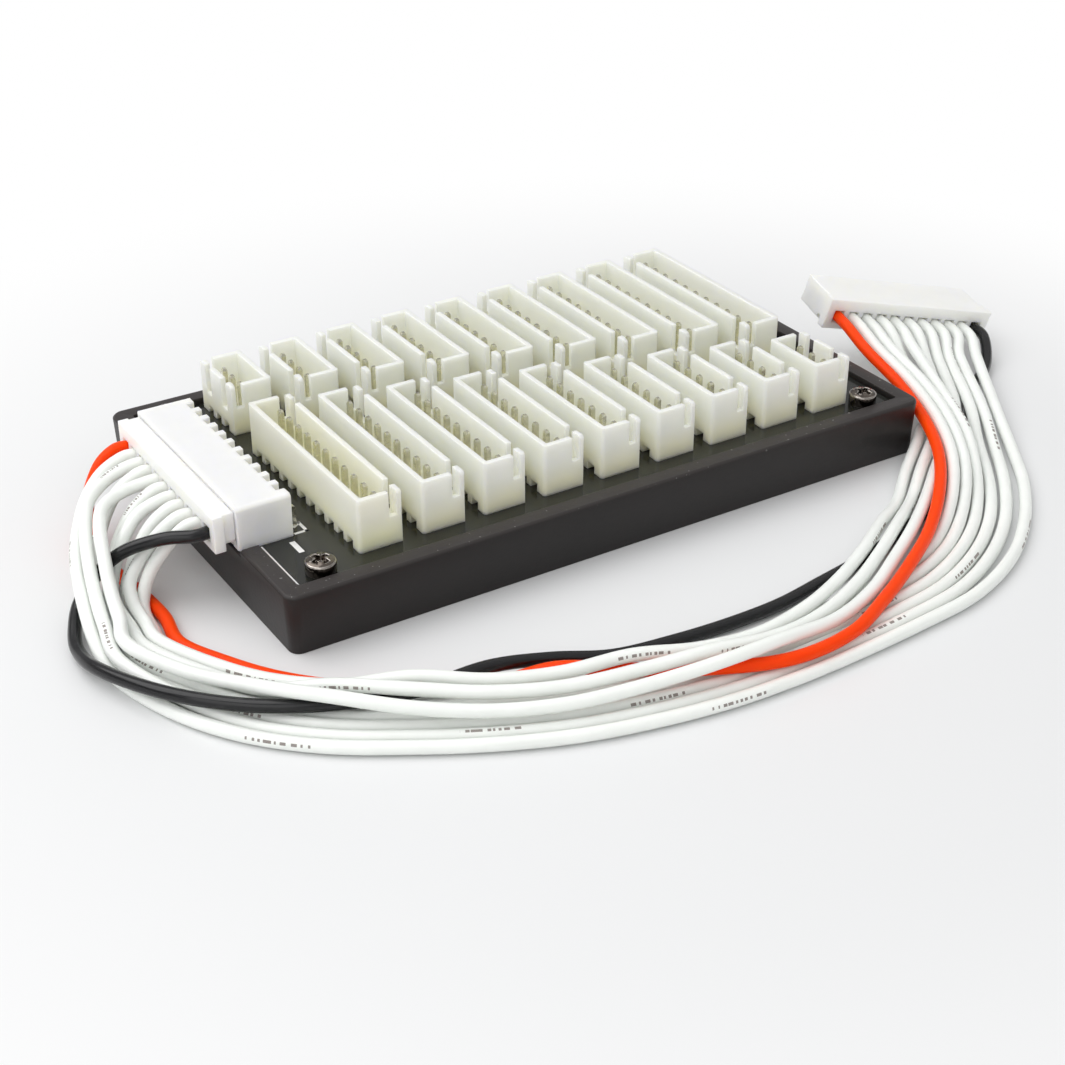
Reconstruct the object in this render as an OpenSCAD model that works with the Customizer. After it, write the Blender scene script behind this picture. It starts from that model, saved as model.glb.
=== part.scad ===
// Balance lead adapter board: a tray with a circuit board, two rows of shrouded pin headers,
// one header on its side, and a lead of single wires from that header to a free plug.
// The origin is the middle of the tray's underside, X runs along the tray, Y to the back, Z up.

/* [Tray] */
// Length of the tray over its rim
tray_l = 93.8; // [93.4:0.2:116]
// Width of the tray over its rim
tray_w = 54.3; // [52.4:0.2:68]
// Height of the rim above the table
tray_h = 7.85; // [7.2:0.05:12]
// Inward draft of each side wall, from the rim to the base
tray_draft = 0.6; // [0:0.05:1]
// Radius of the upright corners
tray_r = 1.7; // [1.2:0.1:4]
// Chamfer round the top edge of the rim
rim_edge = 0.3; // [0.1:0.05:0.5]
// Width of the rim round the board
rim_w = 2.4; // [1.6:0.1:3]
// Thickness of the floor
floor_t = 1.6; // [1:0.1:2]
// Width of the ledge that carries the board
ledge_w = 1; // [0.6:0.1:1.6]
// Clearance of the notch in the rim beyond the ends of the side header
notch_gap = 0.8; // [0.2:0.1:1.5]
// Depth of that notch below the face of the board
notch_drop = 0.1; // [0.05:0.05:0.4]

/* [Board] */
// Thickness of the circuit board
board_t = 1.6; // [1:0.1:2]
// Depth of the board's face below the rim
board_drop = 0.8; // [0.4:0.05:1.5]
// Gap between the board's edge and the rim
board_gap = 0.2; // [0.1:0.05:0.5]
// Radius of the board's corners
board_r = 0.4; // [0.2:0.1:2]
// Clearance between the corners of a pin and its hole
pin_hole_gap = 0.05; // [0.02:0.01:0.1]

/* [Screws] */
// Distance of a screw from the end of the board
screw_in_x = 3.8; // [3:0.1:3.9]
// Distance of a screw from the side of the board
screw_in_y = 2.15; // [2:0.05:4]
// Diameter of the screw head
screw_head_d = 3.7; // [3:0.1:3.9]
// Height of the screw head
screw_head_h = 2; // [1.4:0.1:2.4]
// Radius of the dome on top of the screw head
dome_r = 4.2; // [2.6:0.1:6]
// Length of the cross recess over two arms
recess_l = 2.3; // [1.6:0.1:2.6]
// Width of an arm of the recess
recess_w = 0.65; // [0.4:0.05:0.9]
// Depth of the recess
recess_d = 1; // [0.6:0.1:1.4]
// Turn of the recess in degrees
recess_turn = 20; // [0:5:90]
// Diameter of the screw's shank
screw_d = 2.2; // [1.6:0.1:2.6]
// Diameter of the boss under each screw
boss_d = 5.4; // [4.4:0.1:6.4]
// Height of a screw's tip above the floor of the tray
tip_over = 0.7; // [0.5:0.1:1.5]
// Depth of the pilot hole past the screw's tip
pilot_over = 0.3; // [0.1:0.1:0.5]
// Clearance between a screw and its hole, on the diameter
pilot_gap = 0.1; // [0.05:0.05:0.2]

/* [Headers] */
// Spacing of the pins in a header
pitch = 2.5; // [2:0.05:2.54]
// Pins in the shortest header
ways_min = 3; // [3:1:3]
// Pins in the longest header
ways_max = 11; // [11:1:11]
// Spacing of the headers along the board
col_pitch = 8.47; // [7:0.01:8.5]
// Middle of the rows along the board
row_x = 1.75; // [1.4:0.05:1.9]
// Place of the front row's near ends across the board
row_front = -21.4; // [-21.8:0.1:-20.8]
// Gap between the facing ends of the two rows
row_gap = 5.1; // [4:0.1:5.6]
// Width of a header across its pins
header_w = 5.75; // [4.7:0.05:6]
// Height of a header
header_h = 7; // [6:0.1:8.4]
// Thickness of the header's walls
header_wall = 0.75; // [0.6:0.05:0.9]
// Height of the header's floor above the board
header_floor = 1.8; // [1.5:0.1:2.2]
// Offset of the pin row from the middle of a header, away from its plain wall
pin_off = 0.525; // [0.3:0.025:0.65]
// Housing beyond the first and last pin
end_over = 2.45; // [2.2:0.05:2.8]
// Width of the slots in the split wall
slot_w = 1.5; // [1.3:0.05:1.6]
// Depth of the slots in the split wall
slot_d = 4; // [3:0.1:4.6]
// Width of the slots in the end walls
end_slot_w = 1; // [0.7:0.05:1.6]
// Depth of the slots in the end walls
end_slot_d = 3.2; // [2.4:0.1:4]
// Thickness of the corner posts beside the end slots
post_t = 0.65; // [0.5:0.05:0.8]
// Width of the notches between the feet
notch_w = 1.5; // [1.2:0.05:1.6]
// Height of the notches between the feet
notch_h = 1; // [0.6:0.05:1.2]
// Radius of the corners at the plain wall
header_r = 0.5; // [0.2:0.05:0.7]
// Rounding of the tops of the corner posts
post_r = 0.55; // [0.2:0.05:0.7]

/* [Pins] */
// Side of a square pin
pin_s = 0.64; // [0.5:0.02:0.78]
// Depth of the pin tips below the mouth of a header
pin_below = 0.85; // [0.6:0.05:2]
// Length of the pin tails below the face of the board
pin_tail = 3.4; // [2.4:0.1:3.6]
// Taper length at the pin tips
pin_tip = 0.3; // [0.2:0.05:0.8]
// Side of the flat at a pin's tip
pin_flat = 0.42; // [0.3:0.02:0.48]

/* [Side header] */
// Distance of the side header's foot from the end of the board
side_in = 4.65; // [4.3:0.05:4.8]
// Middle of the side header across the board
side_y = 1.45; // [1.2:0.05:1.7]
// Reach of the bent pins past the foot
bend_out = 1.1; // [1:0.05:2.4]

/* [Plugs] */
// Length of a plug that stays outside its header
plug_proud = 2.8; // [2.4:0.1:3.4]
// Length of the plug's rear flange
flange_t = 1.4; // [1:0.1:1.8]
// Set-back of the flange from the ends of a header
flange_in = 0.3; // [0:0.05:0.6]
// Height of a plug's top above the middle of its contacts
plug_over = 2.75; // [2.4:0.05:3.2]
// Depth of the flange below the middle of the contacts
flange_under = 1.95; // [1.6:0.05:2.2]
// Set-back of the neck from the ends of the flange
neck_in = 0.35; // [0.2:0.05:0.5]
// Depth of the neck's ends below the middle of the contacts
neck_under = 0.9; // [0.6:0.05:1.2]
// Wall of the neck outside the first and last contact
neck_wall = 0.3; // [0.2:0.05:0.5]
// Clearance between a plug and the walls of its header
plug_gap = 0.1; // [0.05:0.05:0.2]
// Clearance of a polarising rib on each side in its slot
rib_gap = 0.15; // [0.1:0.05:0.25]
// Room beside a wire in its cavity
way_gap = 0.05; // [0.03:0.01:0.1]
// Room above and below a wire in its cavity
way_over = 0.15; // [0.05:0.05:0.2]
// Clearance of a pin on each side in its contact
bore_gap = 0.03; // [0.02:0.01:0.08]
// Thickness of the plug's front wall
front_wall = 0.5; // [0.3:0.1:0.8]
// Clearance of a pin on each side in the front wall
open_gap = 0.13; // [0.05:0.01:0.2]
// Width of the windows where the contacts lock
window_w = 1.1; // [0.8:0.05:1.2]
// Length of those windows
window_l = 1.6; // [1:0.1:2]
// Distance of the windows inside the mouth of the header
window_in = 1.2; // [0.6:0.1:2]
// Depth of a wire's end in its plug
wire_in = 0.6; // [0.4:0.1:1]

/* [Lead] */
// Diameter of a wire over its insulation
wire_d = 1.6; // [1.2:0.05:1.6]
// Distance of the free plug's middle beyond the end of the tray
free_out = 17.6; // [17:0.1:18]

/* [Hidden] */
// Overlap of solids that are joined, and overrun of cuts
eps = 0.02;
cut = 1;
cols = ways_max - ways_min + 1;
board_l = tray_l - 2 * (rim_w + board_gap);
board_w = tray_w - 2 * (rim_w + board_gap);
board_top = tray_h - board_drop;
board_under = board_top - board_t;
screw_x = board_l / 2 - screw_in_x;
screw_y = board_w / 2 - screw_in_y;
shank_l = board_top - floor_t - tip_over;
pin_in = header_w / 2 + pin_off;
pin_hole_d = pin_s * sqrt(2) + 2 * pin_hole_gap;
side_x = side_in - board_l / 2;
side_top = board_top + header_w;
side_pin_z = side_top - pin_in;
leg_x = side_x + bend_out;
plug_l = plug_proud + header_h - header_floor - plug_gap;
block_over = pin_in - header_wall - plug_gap;
block_under = header_w - pin_in - header_wall - plug_gap;
contact_l = plug_l - wire_in - front_wall;
contact_w = wire_d + 2 * way_gap;
contact_h = wire_d + 2 * way_over;
contact_bore = pin_s + 2 * bore_gap;
pin_open = pin_s + 2 * open_gap;
rib_w = slot_w - 2 * rib_gap;
ways = ways_max;

// Colours as the photograph shows them
charcoal = [0.16, 0.15, 0.155];
solder_mask = [0.09, 0.09, 0.095];
ivory = [0.93, 0.94, 0.89];
white = [0.96, 0.96, 0.95];
tin = [0.8, 0.79, 0.72];
black_oxide = [0.07, 0.07, 0.07];
red = [0.95, 0.25, 0.08];
black = [0.06, 0.06, 0.065];

function header_l(n) = pitch * (n - 1) + 2 * end_over;
function pin_y(i) = end_over + i * pitch;
function ways_front(k) = ways_max - (k - 1);
function ways_back(k) = ways_min + (k - 1);
function col_x(k) = row_x - (cols - 1) * col_pitch / 2 - header_w / 2 + (k - 1) * col_pitch;
row_back = row_front + header_l(ways_max) + header_l(ways_min) + row_gap;

// The free plug: middle of its rear face, and how it leans on the table
free_at = [tray_l / 2 + free_out, -4.8, 6.4];
free_turn = [8, 14, -9];

// The lead lies along a curved spine in front of the tray. Each station has a place and a heading.
// A wire's lane is its distance out from the spine and its height at each station.
stations = [
    [-62, -20, -75], [-58.6, -27.5, -58], [-53.6, -34, -47], [-47.6, -39.8, -40], [-41, -44.6, -33],
    [-33.8, -48.8, -27], [-26.2, -52, -19], [-18.2, -54.2, -12], [-10, -55.6, -6], [-1.6, -56, 1],
    [6.8, -55.4, 8], [15, -53.6, 17], [22.8, -50.6, 26], [30.2, -46.4, 33], [37, -41.4, 39],
    [43.2, -35.6, 47], [48.6, -29, 54], [53.4, -21.6, 60]];
// Height of a wire's middle where it lies on the table
low = 0.9;
lanes = [
    // Red: inner edge, crosses over to the outside at the front, back over the top at the right
    [[-5.4, low], [-5.3, low], [-4.6, low], [-4.4, low], [-4.8, low], [-4.85, low], [-4.6, 2.6], [-1.8, 2.65],
     [1.4, 2.65], [4.2, 2.65], [4.4, 2.65], [2.6, 2.65], [1.4, 2.65], [0.9, 2.65], [0.4, 3.6], [-0.4, 4.4],
     [-1.8, 5], [-4.1, 6.2]],
    // White 1
    [[-3.6, low], [-3.5, low], [-2.8, low], [-2.6, low], [-3, low], [-3.1, low], [-3.1, low], [-3.2, low],
     [-3.4, low], [-3.4, low], [-3, low], [-1.8, low], [0.2, low], [1.7, low], [2, 2.4], [1.4, 4],
     [0, 5], [-2.2, 6.2]],
    // White 2
    [[-1.8, low], [-1.7, low], [-1, low], [-0.8, low], [-1.2, low], [-1.4, low], [-1.35, low], [-1.45, low],
     [-1.6, low], [-1.6, low], [-1.2, low], [0, low], [2, low], [3.4, low], [3.6, 1.6], [3.1, 3.2],
     [1.8, 4.6], [-0.3, 5.9]],
    // White 3: rides on the others
    [[-2.7, 2.5], [-2.5, 2.5], [-1.9, 2.5], [-1.8, 3], [-1.9, 4.45], [-1.6, 4], [-1.7, 4], [-2, 4.45],
     [-1.7, 3.4], [-1.8, 2.65], [-2.6, 2.65], [-3.8, 2.65], [-4.7, 2.65], [-5.2, 2.2], [-4.8, low], [-4.4, 1.4],
     [-2.4, 2.4], [0.1, 3.4]],
    // White 4
    [[0, low], [0.05, low], [0.8, low], [1, low], [0.6, low], [0.4, low], [0.4, low], [0.3, low],
     [0.2, low], [0.2, low], [0.6, low], [1.9, low], [4, low], [5.1, low], [5.3, low], [4.7, 2],
     [3.6, 4], [1.8, 5.2]],
    // White 5: rides on the others
    [[-0.9, 2.5], [-0.6, 2.6], [-0.1, 2.5], [0, 4.3], [0.5, 4.5], [0.7, 4], [0.7, 3.8], [0.6, 4.2],
     [0.6, 4.45], [0.5, 3.4], [-0.4, 2.65], [-1.6, 2.65], [-2.7, 2.65], [-3.1, 2.65], [-3, 1.6], [-2.4, 2.2],
     [-0.4, 2.65], [2.1, 3]],
    // White 6: rides on the others
    [[1.4, 4], [1.5, 3.8], [1.9, 4.3], [2.4, 4.5], [2.9, 3.8], [3, 3.2], [3, 3.2], [2.8, 3.7],
     [2.9, 4.45], [2.6, 4.45], [1.9, 3.2], [0.6, 2.65], [-0.7, 2.65], [-1.1, 2.65], [-1.1, 2.65], [-0.5, 2.6],
     [1.5, 2.65], [4.1, 2.8]],
    // White 7
    [[1.8, low], [1.8, low], [2.6, low], [2.8, low], [2.4, low], [2.2, low], [2.2, low], [2.1, low],
     [2, low], [2, low], [2.4, low], [3.8, low], [5.8, low], [6.9, low], [7.1, low], [6.5, low],
     [5.6, 2], [6.1, 2.9]],
    // White 8
    [[2.7, 2.5], [3.4, 1.8], [4.4, low], [4.6, low], [4.2, low], [4, low], [4, low], [3.9, low],
     [3.8, low], [3.8, low], [4.2, low], [5.6, low], [7.7, low], [8.8, low], [9, low], [8.5, low],
     [7.9, 1.4], [7.9, 2.6]],
    // White 9: outer edge
    [[3.6, low], [5, low], [6.2, low], [6.4, low], [6, low], [5.8, low], [5.8, low], [5.7, low],
     [5.6, low], [5.6, low], [6, low], [7.4, low], [9.8, low], [11.2, low], [11.4, low], [11, low],
     [10.3, 1], [10, 2]],
    // Black: outer edge at the left, crosses over to the inside, then passes under the rest at the right
    [[5, 2.3], [4.9, 3.1], [3.6, 2.9], [1.2, 2.65], [-1.6, 2.65], [-5.6, 2.9], [-7.8, 1.7], [-7.4, low],
     [-7.4, low], [-7.2, low], [-6.8, low], [-6.4, low], [-5, low], [-3, low], [-0.6, low], [1.4, low],
     [3.6, low], [6, low]]];
// Way of the board's plug that each wire comes from, counted from the red end
from_way = [1, 10, 8, 9, 6, 7, 5, 4, 3, 2, 11];
// Points where the wires fan in from the board's plug
fan_in = [
    [[-53.6, 13.4, 7.8], [-56.2, 11, 4.6], [-57.5, 6.2, 2.1], [-57.4, 0, 1], [-56.6, -6, low],
     [-56.2, -12.5, low]],
    [[-53.6, -8.4, 7.4], [-56.1, -8.5, 4.4], [-57.8, -10.2, 1.7], [-58.4, -14.2, 1]],
    [[-54, -4, 7.7], [-56.8, -5.4, 4.6], [-58.8, -7.4, 2], [-59.6, -10, 1], [-60.2, -14.6, low]],
    [[-53.8, -6.4, 8], [-56.6, -7, 5.6], [-58.4, -8.2, 3.9], [-59.1, -10.8, 2.8], [-59.3, -14.8, 2.5]],
    [[-54.4, 0.6, 7.6], [-57.6, -1.8, 4.6], [-60, -5.2, 1.8], [-61.3, -9.4, 1], [-61.9, -14.6, low]],
    [[-54.4, -1.4, 8.3], [-57.6, -3.4, 5.8], [-59.8, -6.2, 3.4], [-60.8, -9.6, 2.6], [-61.1, -14.8, 2.5]],
    [[-54.6, 3.4, 9.2], [-57.6, 1, 9.2], [-59.4, -2.8, 8.7], [-60.5, -6.6, 7.5], [-61.5, -10.6, 5.5],
     [-62.4, -15.4, 4.5]],
    [[-54.6, 5.4, 7.8], [-58, 2.2, 5], [-61, -2.8, 2.6], [-63, -8.8, 1], [-63.8, -14.6, low]],
    [[-54.4, 8.2, 8.8], [-57.8, 5.2, 8.3], [-60, 0.6, 7.7], [-61.7, -4.4, 6.8], [-63, -9.4, 5.1],
     [-64, -14.8, 3.5]],
    [[-54.2, 10.6, 8.4], [-57.4, 7.8, 7], [-60.2, 3, 6.1], [-62.6, -2.6, 5.7], [-64.3, -8.6, 4.4],
     [-65.4, -14.8, 2.2]],
    [[-54.2, -9.2, 9.1], [-58, -6.4, 7.2], [-61, -5.4, 4.8], [-63.9, -6.6, 2.6], [-65.9, -9.8, 1.7],
     [-67.3, -14.5, 1.2]]];
// Points where they fan out to the free plug
fan_out = [
    [[50.6, -11.6, 8]], [[52.8, -11.8, 7.6]], [[55, -12, 7.2]], [[57.5, -12.2, 4.7]], [[59, -12.4, 6.4]],
    [[61.4, -12.6, 4.3]], [[63.6, -12.8, 3.9]], [[65.6, -13, 3.6]], [[67.6, -13.2, 3.3]], [[70.2, -14, 3]],
    [[65, -18.4, low], [71.8, -14.4, 1.2]]];
// Straight length of each wire behind a plug, and tube steps between two points
straight_in = 2.2;
straight_out = 3;
tube_steps = 2;
tube_sides = 8;

// Turns a point as rotate() does
function turned(p, a) =
    let (x1 = p, y1 = [x1.x, x1.y * cos(a.x) - x1.z * sin(a.x), x1.y * sin(a.x) + x1.z * cos(a.x)])
    let (z1 = [y1.x * cos(a.y) + y1.z * sin(a.y), y1.y, y1.z * cos(a.y) - y1.x * sin(a.y)])
    [z1.x * cos(a.z) - z1.y * sin(a.z), z1.x * sin(a.z) + z1.y * cos(a.z), z1.z];
function way_v(i) = (i - (ways - 1) / 2) * pitch;
function in_free_plug(v, u) = free_at + turned([v, u, 0], free_turn);
plug_x = side_x - header_h - plug_proud;
function in_board_plug(v, u) = [plug_x + u, side_y - v, side_pin_z];
function lane_point(s, a) = [s.x + a[0] * sin(s.z), s.y - a[0] * cos(s.z), a[1]];
function route(i) = concat(
    [for (u = [wire_in, wire_in - straight_in]) in_board_plug(way_v(from_way[i] - 1), u)],
    fan_in[i],
    [for (k = [0:len(stations) - 1]) lane_point(stations[k], lanes[i][k])],
    fan_out[i],
    [in_free_plug(way_v(i), -straight_out), in_free_plug(way_v(i), wire_in)]);

// A smooth curve through the points of a route, no lower than a wire lying on the table
function spline(a, b, c, d, t) =
    0.5 * (2 * b + (c - a) * t + (2 * a - 5 * b + 4 * c - d) * t * t + (3 * b - a - 3 * c + d) * t * t * t);
function at_end(p, i) = i < 0 ? 2 * p[0] - p[1] : i >= len(p) ? 2 * p[len(p) - 1] - p[len(p) - 2] : p[i];
function rested(p) = [p.x, p.y, max(p.z, wire_d / 2)];
function curve(p) = concat(
    [for (i = [0:len(p) - 2]) for (k = [0:tube_steps - 1])
        rested(spline(at_end(p, i - 1), p[i], p[i + 1], at_end(p, i + 2), k / tube_steps))],
    [p[len(p) - 1]]);
function unit(v) = v / norm(v);
function along(p, c, i) =
    i == 0 ? unit(p[1] - p[0]) :
    i == len(c) - 1 ? unit(p[len(p) - 1] - p[len(p) - 2]) :
    unit(c[i + 1] - c[i - 1]);
function ring(p, t, r) =
    let (s = unit(cross(t, [0, 0, 1])), u = cross(s, t))
    [for (j = [0:tube_sides - 1]) p + r * (s * cos(360 * j / tube_sides) + u * sin(360 * j / tube_sides))];

// A rectangle with round corners, centred
module rounded(l, w, r) {
    square([l - 2 * r, w], center = true);
    square([l, w - 2 * r], center = true);
    for (x = [-1, 1], y = [-1, 1])
        translate([x * (l / 2 - r), y * (w / 2 - r)]) circle(r, $fn = 32);
}

module at_screws() {
    for (x = [-screw_x, screw_x], y = [-screw_y, screw_y])
        translate([x, y, 0]) children();
}

module tray() {
    cavity_l = board_l - 2 * ledge_w;
    cavity_w = board_w - 2 * ledge_w;
    notch_l = header_l(ways) + 2 * notch_gap;
    color(charcoal) difference() {
        union() {
            difference() {
                hull()
                    for (x = [-1, 1], y = [-1, 1])
                        translate([x * (tray_l / 2 - tray_r), y * (tray_w / 2 - tray_r), 0]) {
                            cylinder(h = tray_h - rim_edge, r1 = tray_r - tray_draft, r2 = tray_r, $fn = 32);
                            cylinder(h = tray_h, r = tray_r - rim_edge, $fn = 32);
                        }
                // Seat of the board
                translate([0, 0, board_under])
                    linear_extrude(tray_h) rounded(board_l + 2 * board_gap, board_w + 2 * board_gap, board_r);
                // Room for the pin tails
                translate([0, 0, floor_t])
                    linear_extrude(tray_h) rounded(cavity_l, cavity_w, board_r);
            }
            at_screws() translate([0, 0, floor_t - eps])
                cylinder(h = board_under - floor_t + eps, d = boss_d, $fn = 48);
        }
        at_screws() translate([0, 0, board_top - shank_l - pilot_over])
            cylinder(h = tray_h, d = screw_d + pilot_gap, $fn = 32);
        // Notch in the rim for the side header
        translate([-tray_l / 2 - cut, side_y - notch_l / 2, board_top - notch_drop])
            cube([rim_w + 2 * cut, notch_l, tray_h]);
    }
}

module circuit_board() {
    color(solder_mask) difference() {
        translate([0, 0, board_under]) linear_extrude(board_t) rounded(board_l, board_w, board_r);
        at_screws() translate([0, 0, board_under - cut])
            cylinder(h = board_t + 2 * cut, d = screw_d + 2 * pilot_gap, $fn = 32);
        for (k = [1:cols]) {
            at_front(k) pin_holes(ways_front(k));
            at_back(k) pin_holes(ways_back(k));
        }
        for (i = [0:ways - 1])
            translate([leg_x, side_y - way_v(i), board_under - cut])
                cylinder(h = board_t + 2 * cut, d = pin_hole_d, $fn = 24);
    }
}

module pin_holes(n) {
    for (i = [0:n - 1])
        translate([pin_in, pin_y(i), -board_t - cut])
            cylinder(h = board_t + 2 * cut, d = pin_hole_d, $fn = 24);
}

// Pan head screws with a cross recess
module board_screws() {
    color(black_oxide) at_screws() translate([0, 0, board_top]) difference() {
        union() {
            intersection() {
                cylinder(h = screw_head_h, d = screw_head_d, $fn = 48);
                translate([0, 0, screw_head_h - dome_r]) sphere(dome_r, $fn = 48);
            }
            translate([0, 0, -shank_l]) cylinder(h = shank_l + eps, d = screw_d, $fn = 32);
        }
        for (a = [0, 90])
            rotate([0, 0, a + recess_turn]) translate([-recess_l / 2, -recess_w / 2, screw_head_h - recess_d])
                cube([recess_l, recess_w, screw_head_h]);
    }
}

// Places of the upright headers: plain wall to the left in front and to the right behind
module at_front(k) {
    translate([col_x(k), row_front, board_top]) children();
}

module at_back(k) {
    translate([col_x(k) + header_w, row_back, board_top]) rotate([0, 0, 180]) children();
}

// The header on its side: foot to the right, mouth to the left, plain wall on top
module at_side() {
    translate([side_x, side_y + header_l(ways) / 2, side_top]) rotate([0, 90, 180]) children();
}

// Shrouded housing of n ways: plain wall at x = 0, split wall at x = header_w, feet at z = 0
module header(n, end_slots = true) {
    l = header_l(n);
    inner_w = header_w - 2 * header_wall;
    end_slot_x = header_w - post_t - end_slot_w;
    difference() {
        linear_extrude(header_h) {
            translate([header_r, 0]) square([header_w - header_r, l]);
            translate([0, header_r]) square([header_w, l - 2 * header_r]);
            for (y = [header_r, l - header_r]) translate([header_r, y]) circle(header_r, $fn = 32);
        }
        translate([header_wall, header_wall, header_floor]) cube([inner_w, l - 2 * header_wall, header_h]);
        for (y = [end_over, l - end_over])
            translate([header_w - header_wall - eps, y - slot_w / 2, header_h - slot_d])
                cube([header_wall + cut, slot_w, header_h]);
        if (end_slots)
            for (y = [-cut, l - header_wall - eps])
                translate([end_slot_x, y, header_h - end_slot_d])
                    cube([end_slot_w, header_wall + cut + eps, header_h]);
        for (i = [0:n - 1]) {
            translate([-cut, pin_y(i) - notch_w / 2, -cut]) cube([header_w + 2 * cut, notch_w, notch_h + cut]);
            translate([pin_in - pin_s / 2, pin_y(i) - pin_s / 2, 0]) cube([pin_s, pin_s, header_h]);
        }
        post_rounding(0, 0);
        post_rounding(l, 1);
    }
}

// Cuts the outer top edge of a corner post to a round
module post_rounding(y, far) {
    translate([header_w - post_t - eps, y, header_h - post_r]) mirror([0, far, 0]) difference() {
        translate([0, -cut, 0]) cube([post_t + cut, post_r + cut, post_r + cut]);
        translate([-cut, post_r, 0]) rotate([0, 90, 0]) cylinder(h = post_t + 3 * cut, r = post_r, $fn = 32);
    }
}

// A square pin of length l, tapered at its tip
module pin(l) {
    intersection() {
        pin_side(l);
        rotate([0, 0, 90]) pin_side(l);
    }
}

module pin_side(l) {
    translate([0, pin_s / 2, 0]) rotate([90, 0, 0]) linear_extrude(pin_s)
        polygon([[-pin_s / 2, 0], [pin_s / 2, 0], [pin_s / 2, l - pin_tip], [pin_flat / 2, l],
            [-pin_flat / 2, l], [-pin_s / 2, l - pin_tip]]);
}

module header_pins(n) {
    for (i = [0:n - 1])
        translate([pin_in, pin_y(i), -pin_tail]) pin(pin_tail + header_h - pin_below);
}

module header_front(k) {
    color(ivory) at_front(k) header(ways_front(k));
}

module header_back(k) {
    color(ivory) at_back(k) header(ways_back(k));
}

module pins_front(k) {
    color(tin) at_front(k) header_pins(ways_front(k));
}

module pins_back(k) {
    color(tin) at_back(k) header_pins(ways_back(k));
}

module side_header() {
    color(white) at_side() header(ways, end_slots = false);
}

// Pins that leave the side header's foot and bend down through the board
module side_pins() {
    reach = bend_out + header_h - pin_below;
    drop = side_pin_z - board_top + pin_tail;
    color(tin) for (i = [0:ways - 1])
        translate([leg_x, side_y - way_v(i), side_pin_z]) {
            rotate([0, -90, 0]) pin(reach);
            translate([0, 0, -drop]) difference() {
                translate([-pin_s / 2, -pin_s / 2, 0]) cube([pin_s, pin_s, drop + pin_s / 2]);
                // Round on the outside of the bend
                translate([0, 0, drop]) difference() {
                    translate([0, -cut, 0]) cube(2 * cut);
                    rotate([90, 0, 0]) cylinder(h = 4 * cut, r = pin_s / 2, center = true, $fn = 32);
                }
            }
        }
}

// Plug housing: ways along x, rear face at y = 0, pushed in along +y, plain side up
module plug_housing() {
    l = header_l(ways);
    flange_l = l - 2 * flange_in;
    neck_l = flange_l - 2 * neck_in;
    ways_l = 2 * way_v(ways - 1) + contact_w + 2 * neck_wall;
    block_l = l - 2 * (header_wall + plug_gap);
    rib_l = slot_d - 2 * plug_gap;
    cavity_l = plug_l - front_wall;
    difference() {
        union() {
            plug_slab(flange_l, -flange_under, plug_over, 0, flange_t);
            plug_slab(neck_l, -neck_under, plug_over, flange_t - eps, plug_proud);
            plug_slab(ways_l, -block_under, plug_over, flange_t - eps, plug_proud);
            plug_slab(block_l, -block_under, block_over, plug_proud - eps, plug_l);
            for (i = [0, ways - 1])
                translate([way_v(i) - rib_w / 2, plug_proud, pin_in - header_w + plug_gap])
                    cube([rib_w, rib_l, header_wall + plug_gap]);
        }
        for (i = [0:ways - 1]) translate([way_v(i), 0, 0]) {
            translate([-contact_w / 2, -cut, -contact_h / 2]) cube([contact_w, cavity_l + cut, contact_h]);
            translate([-pin_open / 2, cavity_l - eps, -pin_open / 2])
                cube([pin_open, front_wall + cut, pin_open]);
        }
        for (i = [1:ways - 2])
            translate([way_v(i) - window_w / 2, plug_proud + window_in, -block_under - cut])
                cube([window_w, window_l, block_under + cut]);
    }
}

module plug_slab(l, z0, z1, y0, y1) {
    translate([-l / 2, y0, z0]) cube([l, y1 - y0, z1 - z0]);
}

module plug_contacts() {
    for (i = [0:ways - 1]) translate([way_v(i), wire_in, 0]) difference() {
        translate([-contact_w / 2, 0, -contact_h / 2]) cube([contact_w, contact_l, contact_h]);
        translate([-contact_bore / 2, wire_in, -contact_bore / 2]) cube([contact_bore, plug_l, contact_bore]);
    }
}

module in_side_header() {
    translate([plug_x, side_y, side_pin_z]) rotate([0, 0, -90]) children();
}

module on_table() {
    translate(free_at) rotate(free_turn) children();
}

module board_plug() {
    color(white) in_side_header() plug_housing();
}

module board_plug_contacts() {
    color(tin) in_side_header() plug_contacts();
}

module charger_plug() {
    color(white) on_table() plug_housing();
}

module charger_plug_contacts() {
    color(tin) on_table() plug_contacts();
}

// One wire of the lead, a tube along its route
module wire(i) {
    p = route(i);
    c = curve(p);
    n = len(c);
    m = tube_sides;
    points = [for (k = [0:n - 1]) each ring(c[k], along(p, c, k), wire_d / 2)];
    sides = [for (k = [0:n - 2]) for (j = [0:m - 1])
        [k * m + j, k * m + (j + 1) % m, (k + 1) * m + (j + 1) % m, (k + 1) * m + j]];
    start = [[for (j = [0:m - 1]) m - 1 - j]];
    end = [[for (j = [0:m - 1]) (n - 1) * m + j]];
    polyhedron(points, concat(sides, start, end), convexity = 10);
}

module wire_red() {
    color(red) wire(0);
}

module wire_white(k) {
    color(white) wire(k);
}

module wire_black() {
    color(black) wire(ways - 1);
}

tray();
circuit_board();
board_screws();
for (k = [1:cols]) header_front(k);
for (k = [1:cols]) header_back(k);
for (k = [1:cols]) pins_front(k);
for (k = [1:cols]) pins_back(k);
side_header();
side_pins();
board_plug();
board_plug_contacts();
charger_plug();
charger_plug_contacts();
wire_red();
for (k = [1:ways - 2]) wire_white(k);
wire_black();
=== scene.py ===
"""Looks of a balance lead adapter board: tray, circuit board, pin headers, plugs and a lead of wires."""
import math

import bmesh
import bpy
from mathutils import Matrix, Vector


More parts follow.
